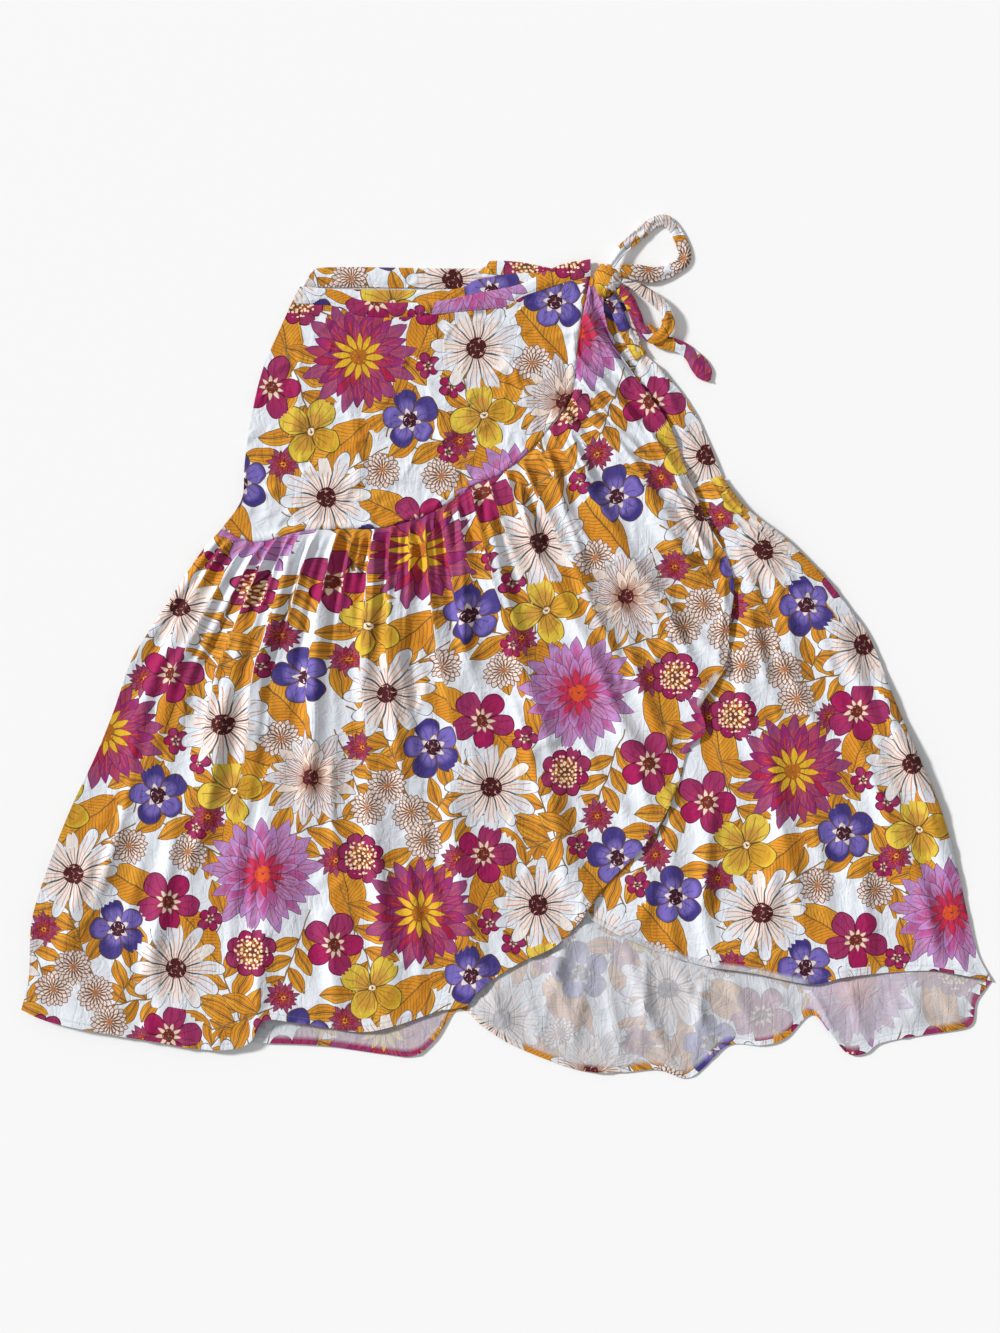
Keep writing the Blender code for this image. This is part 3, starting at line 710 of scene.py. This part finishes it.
def waistband(name, top, foot, level, crown, offset):
    """A band of doubled cloth: full between its pressed edges, puckered along them."""
    columns, rows = 220, 26
    top, foot = line(top, columns), line(foot, columns)
    grid = panel(top, foot, straight(top[0], foot[0], rows), straight(top[-1], foot[-1], rows))
    along = np.linspace(0, np.linalg.norm(top[-1] - top[0]), columns)[None, :]
    share = np.linspace(0, 1, rows)[:, None]
    pucker = 0.35 * dents(along / 11, share * 2.2, 7) + 0.2 * dents(along / 4.5, share * 4, 8)
    stitched = 0.3 * np.exp(-((share - 0.88) / 0.035) ** 2)
    height = level + rolled(grid, crown) * (1 + 0.25 * dents(along / 45, share, 9)) \
        + np.sin(np.pi * share) ** 0.5 * pucker - stitched
    height = height + crumples(grid, 70, 11, size=(8, 30), lift=1.2, lean=0.6, spread=0.5) \
        * np.sin(np.pi * share) ** 0.5
    band = cloth(name + "_cloth", grid, np.maximum(height, level - 0.1), grid + offset, thick=1.0)
    finish_cloth(band, name, printed_viscose)
    return band


waistband("waistband_back", BACK_BAND_TOP, BACK_BAND_FOOT, BACK_LEVEL, 1.6, (40, -150))

# ---------------------------------------------------------------------------------------
# Under-wrap. The flounce that runs round the right side and under the over-wrap, gathered
# to its yoke; both are right side up, and the yoke comes to a point at the waist.

UNDER_LEVEL = 1.8
UNDER_SEAM = table(
    "x y", (-199, 349), (-183, 300), (-150, 248), (-90, 202), (0, 170), (100, 160),
    (180, 165), (221, 175))
UNDER_BAND_TOP = table(
    "x y", (-199, 369), (-164, 367), (-58, 367), (-32, 377), (5, 383), (60, 383), (125, 371))
UNDER_BAND_FOOT = table(
    "x y", (-199, 349), (-164, 347), (-58, 347), (-28, 357), (5, 363), (62, 363), (130, 351))


def gathers(grid, rows):
    """Pleats that the seam's gathering makes. Each starts at the seam, a part of the way
    along it, and dies out a part of the way down; its hidden cloth is tucked in beside the
    pleat, so the print jumps there by that much. Returns the height and the print's shift."""
    down, across = np.linspace(0, 1, grid.shape[0])[:, None], np.linspace(0, 1, grid.shape[1])
    step = np.gradient(grid, axis=1)
    span = np.linalg.norm(step, axis=2)
    level = span.sum(axis=1, keepdims=True)
    height, shift = np.zeros(grid.shape[:2]), np.zeros(grid.shape[:2])
    for row in rows:
        aside = (across - row["along"]) * level
        fade = 1 - rise(down, 0.15 * row["reach"], row["reach"])
        start = rise(down, -0.02, 0.045)
        wide = 3.2 + 24 * down
        crest = np.exp(-np.abs(aside / np.where(aside > 0, wide * 1.25, wide * 0.4)) ** 1.5)
        height += 2.1 * row["height"] * fade * start * crest
        shift += 0.5 * row["hidden"] * fade * np.sign(aside) * np.exp(-np.abs(aside) / 26)
    return height, step / span[..., None] * shift[..., None]


def flutes(grid, seam_cells, seed, near_seam, near_hem):
    """Soft ripples that run down a gathered strip, spread out towards its hem, as noise
    that is stretched down the strip; their height goes from the seam's to the hem's."""
    down, across = np.linspace(0, 1, grid.shape[0])[:, None], np.linspace(0, 1, grid.shape[1])
    broad = 0.8 - 2 * np.abs(dents(across * seam_cells + 0 * down, down * 2.6 + 5, seed))
    fine = dents(across * seam_cells * 2.3 + 0 * down, down * 5 + 3, seed + 1)
    amount = near_seam * rise(down, 0, 0.04) * (1 - rise(down, 0.1, 0.6)) \
        + near_hem * rise(down, 0.25, 1.0)
    return amount * (broad + 0.45 * fine * (1 - 0.7 * down))


UNDER_COLUMNS, UNDER_ROWS, YOKE_ROWS = 250, 130, 90
UNDER_GATHERS = table(
    "along reach height hidden",
    (0.905, 0.30, 2.0, 6), (0.935, 0.45, 2.6, 8), (0.955, 0.35, 2.2, 6), (0.972, 0.60, 3.0, 8),
    (0.988, 0.40, 2.0, 6))
UNDER_CREASES = table(
    "x0 y0 x1 y1 bow width height",
    (196, 168, 262, 30, 6, 6, 3.5), (215, 160, 290, 60, -6, 6, 3.5), (236, 60, 268, -60, 6, 7, 3.5),
    (270, 20, 330, -100, -6, 8, 3.5), (316, 40, 372, -60, 6, 8, 3.0), (380, -20, 430, -160, -6, 8, 3.0),
    (232, 150, 300, -40, 12, 9, 3.5), (250, 120, 345, -60, 14, 8, 3.0),
    (240, 90, 262, -150, -10, 12, 4.0), (300, 60, 392, -120, 8, 10, 3.0),
    (262, -60, 320, -330, -8, 14, 4.5), (330, -40, 420, -300, 12, 13, 4.0),
    (210, -120, 190, -310, 6, 12, 3.5), (390, -60, 455, -260, 6, 12, 3.5),
    (280, -180, 250, -330, 5, 10, 3.0), (360, -200, 370, -340, 4, 12, 3.5),
    (420, -230, 440, -335, 4, 10, 3.0), (150, -230, 130, -300, 4, 9, 2.5))
edge, hem = line(UNDER_SEAM, UNDER_COLUMNS), line(UNDER_HEM, UNDER_COLUMNS)
grid = panel(edge, hem, straight(edge[0], hem[0], UNDER_ROWS),
             line(RIGHT_FLOUNCE_SIDE, UNDER_ROWS))
from_hem = column_lengths(grid)
over_edge = np.vstack([line(OVER_HEM, 200), (-600, 400), (-600, -500)])
open_air = rise(-inside_distance(grid, over_edge), 2, 22)
lift, shift = gathers(grid, UNDER_GATHERS)
lift = lift + 2.3 * creases(grid, UNDER_CREASES) + flutes(grid, 34, 21, 3.0, 4.2)
lift = lift + crumples(grid, 560, 23, lift=2.6, lean=-1.1, spread=0.8)
lift = lift + 0.9 + 1.0 * dents(grid[..., 0] / 40, grid[..., 1] / 70, 24)
height = UNDER_LEVEL + hem_ridge(from_hem) * open_air + open_air * pressed(lift)
curled = (1 - rise(from_hem, HEM_TURN - 1, HEM_TURN)) \
    * rise(grid[..., 0], 78, 84) * (1 - rise(grid[..., 0], 300, 316))
flounce_under = cloth("flounce_under_cloth", grid, height, grid + shift + (-60, 40), hem=from_hem,
                      wrong=curled)
finish_cloth(flounce_under, "flounce_under", printed_viscose)

UNDER_YOKE_CREASES = table(
    "x0 y0 x1 y1 bow width height",
    (118, 340, 150, 240, 4, 5, 4.2), (126, 330, 178, 226, 6, 5, 4.4), (112, 300, 190, 190, 4, 6, 4.2),
    (160, 270, 200, 196, -4, 5, 3.8), (180, 190, 216, 182, 3, 5, 2.5), (100, 345, 128, 262, -4, 5, 4.0),
    (130, 290, 168, 214, 4, 5, 3.5), (146, 250, 200, 176, -3, 5, 3.2))
foot = UNDER_COLUMNS - YOKE_ROWS + 1
grid = panel(line(UNDER_BAND_FOOT, foot), edge[YOKE_ROWS - 1:], edge[:YOKE_ROWS],
             line(RIGHT_YOKE_SIDE, YOKE_ROWS))
open_air = rise(-inside_distance(grid, over_edge), 2, 18)
lift = creases(grid, UNDER_YOKE_CREASES) + crumples(grid, 200, 31, size=(12, 40), lift=2.0)
lift = lift + 0.6 + 0.7 * dents(grid[..., 0] / 30, grid[..., 1] / 30, 32)
yoke_under = cloth("yoke_under_cloth", grid, UNDER_LEVEL + open_air * pressed(lift),
                   grid + (150, 95))
finish_cloth(yoke_under, "yoke_under", printed_viscose)
waistband("waistband_under", UNDER_BAND_TOP, UNDER_BAND_FOOT, UNDER_LEVEL, 1.2, (-20, 40))

# ---------------------------------------------------------------------------------------
# Over-wrap. It crosses the front from the left side to the tie at the right. Its gather
# seam rises to the waist, so the flounce ends in a narrow ruffle there, and the flounce's
# stitched hem runs on up its free edge.

OVER_LEVEL = 3.2
OVER_SEAM = table(
    "x y", (-294, 120), (-272, 109), (-249, 107), (-215, 117), (-172, 120), (-128, 121),
    (-77, 137), (-35, 164), (-9, 175), (20, 196), (45, 224), (64, 250), (71, 276),
    (74, 318), (86, 380))
OVER_BAND_TOP = table(
    "x y", (-213, 370), (-176, 366), (-151, 356), (-112, 353), (-69, 355), (-30, 363),
    (13, 372), (41, 386), (62, 394), (86, 398))
OVER_BAND_FOOT = table(
    "x y", (-222, 352), (-181, 350), (-152, 340), (-109, 338), (-53, 343), (-4, 348),
    (14, 358), (36, 366), (62, 374), (86, 380))
OVER_GATHERS = table(
    "along reach height hidden",
    (0.025, 0.30, 2.2, 8), (0.055, 0.55, 3.4, 12), (0.085, 0.35, 2.6, 8), (0.110, 0.70, 4.5, 14),
    (0.140, 0.30, 2.8, 10), (0.158, 0.85, 5.0, 14), (0.190, 0.40, 3.2, 9), (0.232, 0.75, 5.2, 15),
    (0.262, 0.35, 3.0, 9), (0.300, 0.80, 5.5, 16), (0.334, 0.55, 4.2, 12), (0.370, 0.30, 2.6, 8),
    (0.402, 0.75, 4.8, 14), (0.438, 0.60, 4.5, 12), (0.470, 0.35, 3.0, 8), (0.502, 0.70, 4.4, 12),
    (0.540, 0.40, 3.0, 8), (0.575, 0.50, 3.4, 9), (0.615, 0.65, 3.6, 10), (0.655, 0.35, 2.6, 8),
    (0.690, 0.70, 3.8, 10), (0.730, 0.45, 3.0, 8), (0.765, 0.65, 3.4, 10), (0.805, 0.40, 2.8, 7),
    (0.845, 0.60, 3.0, 8), (0.890, 0.45, 2.4, 6), (0.935, 0.50, 2.0, 5))
OVER_CREASES = table(
    "x0 y0 x1 y1 bow width height",
    (-60, 130, 60, -180, 14, 13, 4.0), (-10, 160, 130, -120, 10, 12, 4.5),
    (40, 200, 190, -60, 12, 10, 4.0), (70, 230, 215, 20, 10, 9, 3.5),
    (-120, 100, -90, -230, -12, 15, 4.5), (-200, 90, -210, -200, 8, 14, 4.5),
    (-260, 80, -330, -180, 8, 15, 4.0), (-300, 90, -400, -120, -6, 14, 3.0),
    (-150, -120, -130, -380, 6, 16, 4.0), (-60, -110, -30, -340, -8, 16, 4.5),
    (-250, -150, -262, -400, 6, 15, 5.0), (-340, -160, -390, -390, 8, 16, 4.0),
    (-420, -200, -470, -370, -6, 13, 3.0), (30, -120, 60, -280, 8, 14, 4.0),
    (-200, -260, -175, -390, 5, 12, 3.5), (100, -60, 150, -190, 6, 12, 3.5),
    (160, 94, 234, 86, 3, 4, 2.2), (222, 100, 214, -30, 4, 5, 2.0), (66, 350, 128, 262, 5, 5, 5.0), (62, 306, 150, 205, 4, 5, 5.0), (74, 352, 96, 300, 3, 4, 3.5),
    (70, 284, 138, 218, -5, 5, 4.5), (64, 252, 168, 170, 5, 5, 4.5), (58, 244, 100, 150, -5, 5, 4.0),
    (130, 240, 196, 130, 5, 5, 4.0), (150, 190, 216, 70, 5, 6, 4.0), (36, 214, 60, 120, 4, 5, 4.0),
    (10, 188, 40, 70, -5, 5, 4.0), (100, 120, 190, -20, 6, 7, 4.0), (60, 110, 130, -40, -6, 7, 4.0),
    (60, 262, 160, 140, 8, 6, 4.0), (50, 236, 125, 100, -6, 6, 4.0),
    (85, 215, 195, 90, 6, 6, 3.5), (115, 190, 205, 50, 4, 6, 3.0),
    (28, 200, 84, 60, 6, 7, 3.5), (-22, 168, 24, -20, -8, 7, 3.5),
    (-52, 150, -50, -60, 6, 8, 3.5), (-92, 130, -104, -30, -5, 6, 3.0),
    (-137, 118, -156, -70, 6, 7, 3.5), (-178, 118, -200, -90, -7, 7, 3.5),
    (-222, 112, -270, -50, 7, 7, 3.0), (150, 60, 204, -60, 4, 6, 3.0),
    (118, 30, 170, -120, -6, 7, 3.0), (0, -40, 40, -210, 6, 8, 3.0),
    (-290, -60, -340, -260, 7, 9, 3.0), (-180, -90, -170, -260, -6, 9, 3.0),
    (-110, -200, -90, -370, 5, 9, 3.0), (-380, -100, -440, -300, 6, 9, 3.0))
OVER_COLUMNS, OVER_ROWS = 300, 158
edge, hem = line(OVER_SEAM, OVER_COLUMNS), line(OVER_HEM, OVER_COLUMNS)
grid = panel(edge, hem, line(LEFT_FLOUNCE_SIDE, OVER_ROWS), straight(edge[-1], hem[-1], OVER_ROWS))
from_hem = column_lengths(grid)
lift, shift = gathers(grid, OVER_GATHERS)
lift = lift + 2.4 * creases(grid, OVER_CREASES) + flutes(grid, 44, 41, 4.0, 4.2)
lift = lift + crumples(grid, 900, 43, lift=2.6, lean=-1.3, spread=0.8)
lift = lift + 1.0 + 1.1 * dents(grid[..., 0] / 42, grid[..., 1] / 80, 44)
height = OVER_LEVEL + hem_ridge(from_hem) + pressed(lift)
round_turn = np.hypot((grid[..., 0] - 202) / 26, (grid[..., 1] + 44) / 18)
turned = (1 - rise(from_hem, HEM_TURN, HEM_TURN + 1)) * (1 - rise(round_turn, 0.9, 1.1))
flounce_over = cloth("flounce_over_cloth", grid, height, grid + shift, hem=from_hem, wrong=turned)
finish_cloth(flounce_over, "flounce_over", printed_viscose)

OVER_YOKE_CREASES = table(
    "x0 y0 x1 y1 bow width height",
    (-215, 330, -230, 180, 6, 8, 2.0), (-190, 320, -150, 150, 8, 10, 2.2),
    (-100, 325, -60, 160, 6, 10, 2.0), (-20, 330, 30, 220, 4, 8, 2.2),
    (20, 340, 60, 260, 3, 6, 2.2), (-240, 260, -120, 240, 6, 8, 1.6),
    (-230, 150, -60, 170, 8, 9, 1.8), (-30, 200, 10, 190, 3, 5, 2.0))
foot = OVER_COLUMNS - YOKE_ROWS + 1
grid = panel(line(OVER_BAND_FOOT, foot), edge[:foot], line(LEFT_YOKE_SIDE, YOKE_ROWS),
             edge[foot - 1:][::-1])
lift = creases(grid, OVER_YOKE_CREASES) + crumples(grid, 520, 51, size=(14, 50), lift=1.9)
lift = lift + 0.7 + 0.8 * dents(grid[..., 0] / 45, grid[..., 1] / 40, 52)
above_seam = np.vstack([line(OVER_SEAM, 160), (86, 600), (-500, 600), (-500, 120)])
from_seam = inside_distance(grid, above_seam)
lift = lift + 1.5 * rise(from_seam, 0, 2.5) * (1 - rise(from_seam, 5, 10)) \
    + 0.9 * dents(grid[..., 0] / 7, grid[..., 1] / 30, 53) * (1 - rise(from_seam, 6, 30))
yoke_over = cloth("yoke_over_cloth", grid, OVER_LEVEL + pressed(lift), grid + (64, 172))
finish_cloth(yoke_over, "yoke_over", printed_viscose)
waistband("waistband_over", OVER_BAND_TOP, OVER_BAND_FOOT, OVER_LEVEL + 0.6, 1.8, (110, -60))

# ---------------------------------------------------------------------------------------
# Ties. Straps of the same cloth, folded and turned to a finger's width, tied in a bow: a
# knot, a loop up, a loop down and two free ends.

HIGH_LOOP = table(
    "x y z width",
    (106.6, 391.2, 8.8, 9), (119, 408, 6.0, 11), (138, 425, 3.2, 12), (152, 436, 2.0, 12),
    (163, 438, 1.9, 12), (172, 430, 1.8, 12), (181, 413, 1.8, 13), (183, 399, 1.8, 13),
    (173, 389, 2.2, 14), (153, 382, 3.8, 16), (134, 384, 6.6, 16), (116.2, 385.4, 8.8, 12))
LOW_LOOP = table(
    "x y z width",
    (115.4, 367.3, 9.4, 9), (125, 356, 9.2, 12), (132, 341, 8.8, 12), (138, 327, 8.4, 11),
    (149, 316, 8.3, 11), (160, 320, 8.3, 12), (166, 332, 8.3, 13), (161, 347, 8.3, 13),
    (148, 359, 9.0, 13), (134, 368, 9.6, 10), (119.0, 375.4, 9.6, 5))
RIGHT_TAIL = table(
    "x y z width",
    (144, 328, 5.0, 11), (156, 314, 5.0, 13), (168, 311, 4.2, 14), (180, 307, 3.2, 13),
    (190, 299, 2.4, 15), (198, 289, 2.0, 19), (204, 280, 1.9, 16), (208, 273, 1.8, 4))
DOWN_TAIL = table(
    "x y z width",
    (106.8, 358.4, 6.2, 11), (114, 343, 5.4, 13), (121, 326, 4.7, 13), (130, 310, 4.6, 13),
    (138, 297, 4.6, 14))
TIE_THICK = 3.0
ROUND = 40
tie_viscose = cloth_material("tie_viscose", crinkle=1.4)


def tube_mesh(name, rings, cut):
    """A closed skin over rings of points, each ring shrunk to its middle at both ends."""
    sections, around = rings.shape[:2]
    cap = [rings[:1].mean(axis=1, keepdims=True), rings[-1:].mean(axis=1, keepdims=True)]
    rings = np.concatenate([np.repeat(cap[0], around, 1), rings, np.repeat(cap[1], around, 1)])
    cut = np.concatenate([cut[:1], cut, cut[-1:]])
    number = np.arange((sections + 2) * around).reshape(-1, around)
    after = np.roll(number, -1, axis=1)
    faces = np.stack([number[:-1], after[:-1], after[1:], number[1:]], -1).reshape(-1, 4)
    mesh = quads_mesh(name, rings.reshape(-1, 3) * MM, faces)
    lay_print(mesh, cut.reshape(-1, 2))
    for label, value in (("hem", 200.0), ("wrong_side", 0.0)):
        layer = mesh.attributes.new(label, "FLOAT", "POINT")
        layer.data.foreach_set("value", np.full(len(mesh.vertices), value))
    mesh.shade_smooth()
    made = bpy.data.objects.new(name, mesh)
    bpy.context.scene.collection.objects.link(made)
    return made


def strap(name, route, sections, offset, seed):
    """A soft strap carried along its middle line: an oval with two shallow folds running
    along it, which swell and sink on the way."""
    middle = line(route, sections)
    along = np.gradient(middle[:, :2], axis=0)
    length = np.append(0, np.cumsum(np.linalg.norm(np.diff(middle[:, :2], axis=0), axis=1)))
    along /= np.linalg.norm(along, axis=1, keepdims=True)
    side = np.column_stack([-along[:, 1], along[:, 0], np.zeros(sections)])
    turn = np.arange(ROUND) * 2 * np.pi / ROUND
    share = length[:, None]
    across = np.sign(np.cos(turn)) * np.abs(np.cos(turn)) ** 0.7 / 2
    across = across * (middle[:, 3, None] + 1.2 * dents(share / 9, turn * 0 + 0.5, seed))
    swell = 0.9 * dents(share / 12 + 0 * turn, turn * 0.9 + 2, seed + 1)
    fold = 0.75 * np.cos(across / middle[:, 3, None] * 9 + 2.2 * dents(share / 16, share * 0, seed))
    high = np.sign(np.sin(turn)) * np.abs(np.sin(turn)) ** 0.8 * TIE_THICK / 2
    high = high + np.maximum(np.sin(turn), 0) * (swell + fold + 0.5)
    rings = middle[:, None, :3] + side[:, None] * across[..., None]
    rings[..., 2] += high
    cut = np.dstack([share + 0 * turn, across]) + np.array(offset)
    made = tube_mesh(name + "_cloth", rings, cut)
    made.data.materials.append(tie_viscose)
    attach(made, "root")
    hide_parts(name)


strap("tie_loop_high", HIGH_LOOP, 150, (60, 20), 61)
strap("tie_loop_low", LOW_LOOP, 120, (-100, 120), 63)
strap("tie_tail_right", RIGHT_TAIL, 80, (140, -60), 65)
strap("tie_tail_down", DOWN_TAIL, 70, (-45, 40), 67)

KNOT_CENTRE, KNOT_RADII = (102.5, 375.5, 8.9), (13.5, 16.5, 6.6)
turn = np.arange(64)[None, :] * 2 * np.pi / 64
tilt = np.linspace(0.06, np.pi - 0.06, 44)[:, None]
wrap = 1 + 0.08 * np.cos(3 * turn + 2.2 * np.cos(tilt)) * np.sin(tilt) \
    + 0.05 * np.cos(9 * turn + 5 * np.cos(tilt)) * np.sin(tilt) ** 2
across = np.sin(tilt) * (0.86 * np.cos(turn) + 0.5 * np.sin(turn))
wrap = wrap - 0.2 * np.exp(-((across + 0.12) / 0.07) ** 2) - 0.14 * np.exp(-((across - 0.42) / 0.06) ** 2)
rings = np.stack([wrap * np.sin(tilt) * np.cos(turn), wrap * np.sin(tilt) * np.sin(turn),
                  np.cos(tilt) * np.ones_like(turn)], -1) * KNOT_RADII + KNOT_CENTRE
cut = np.dstack([rings[..., 0] * 1.3 - 60, rings[..., 1] * 1.2 - 20])
tie_knot = tube_mesh("tie_knot_cloth", rings[::-1], cut[::-1])
tie_knot.data.materials.append(tie_viscose)
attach(tie_knot, "root")
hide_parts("tie_knot")

# ---------------------------------------------------------------------------------------
# The surface it lies on, soft lights from above, and the camera straight over it.

bpy.ops.mesh.primitive_plane_add(size=8, location=(0, 0, -0.0002))
floor = bpy.context.object
floor.name = "floor"
paint = bpy.data.materials.new("pale_floor")
paint.use_nodes = True
paint.node_tree.nodes["Principled BSDF"].inputs["Base Color"].default_value = (0.93, 0.93, 0.93, 1)
paint.node_tree.nodes["Principled BSDF"].inputs["Roughness"].default_value = 0.9
floor.data.materials.append(paint)


lamp = bpy.data.lights.new("key", "SUN")
lamp.energy, lamp.angle = 3.7, np.radians(9)
key = bpy.data.objects.new("key", lamp)
KEY_LEAN, KEY_FROM = np.radians(60), np.radians(64)   # from overhead, and left of the waist
key.rotation_euler = (-KEY_LEAN, 0, KEY_FROM)
bpy.context.scene.collection.objects.link(key)
world = bpy.data.worlds.new("studio")
world.use_nodes = True
world.node_tree.nodes["Background"].inputs["Color"].default_value = (1, 1, 1, 1)
world.node_tree.nodes["Background"].inputs["Strength"].default_value = 0.42
bpy.context.scene.world = world
bpy.context.scene.view_settings.view_transform = "Standard"

VIEW_CENTRE = (-0.0072, -0.0216)
VIEW_HIGH = 1.373        # height of what the camera frames, at the cloth
lens = bpy.data.cameras.new("camera")
lens.lens, lens.sensor_width = 85, 36
camera = bpy.data.objects.new("camera", lens)
camera.location = (*VIEW_CENTRE, VIEW_HIGH / 2 / (lens.sensor_width / 2 / lens.lens) + 0.004)
bpy.context.scene.collection.objects.link(camera)
bpy.context.scene.camera = camera
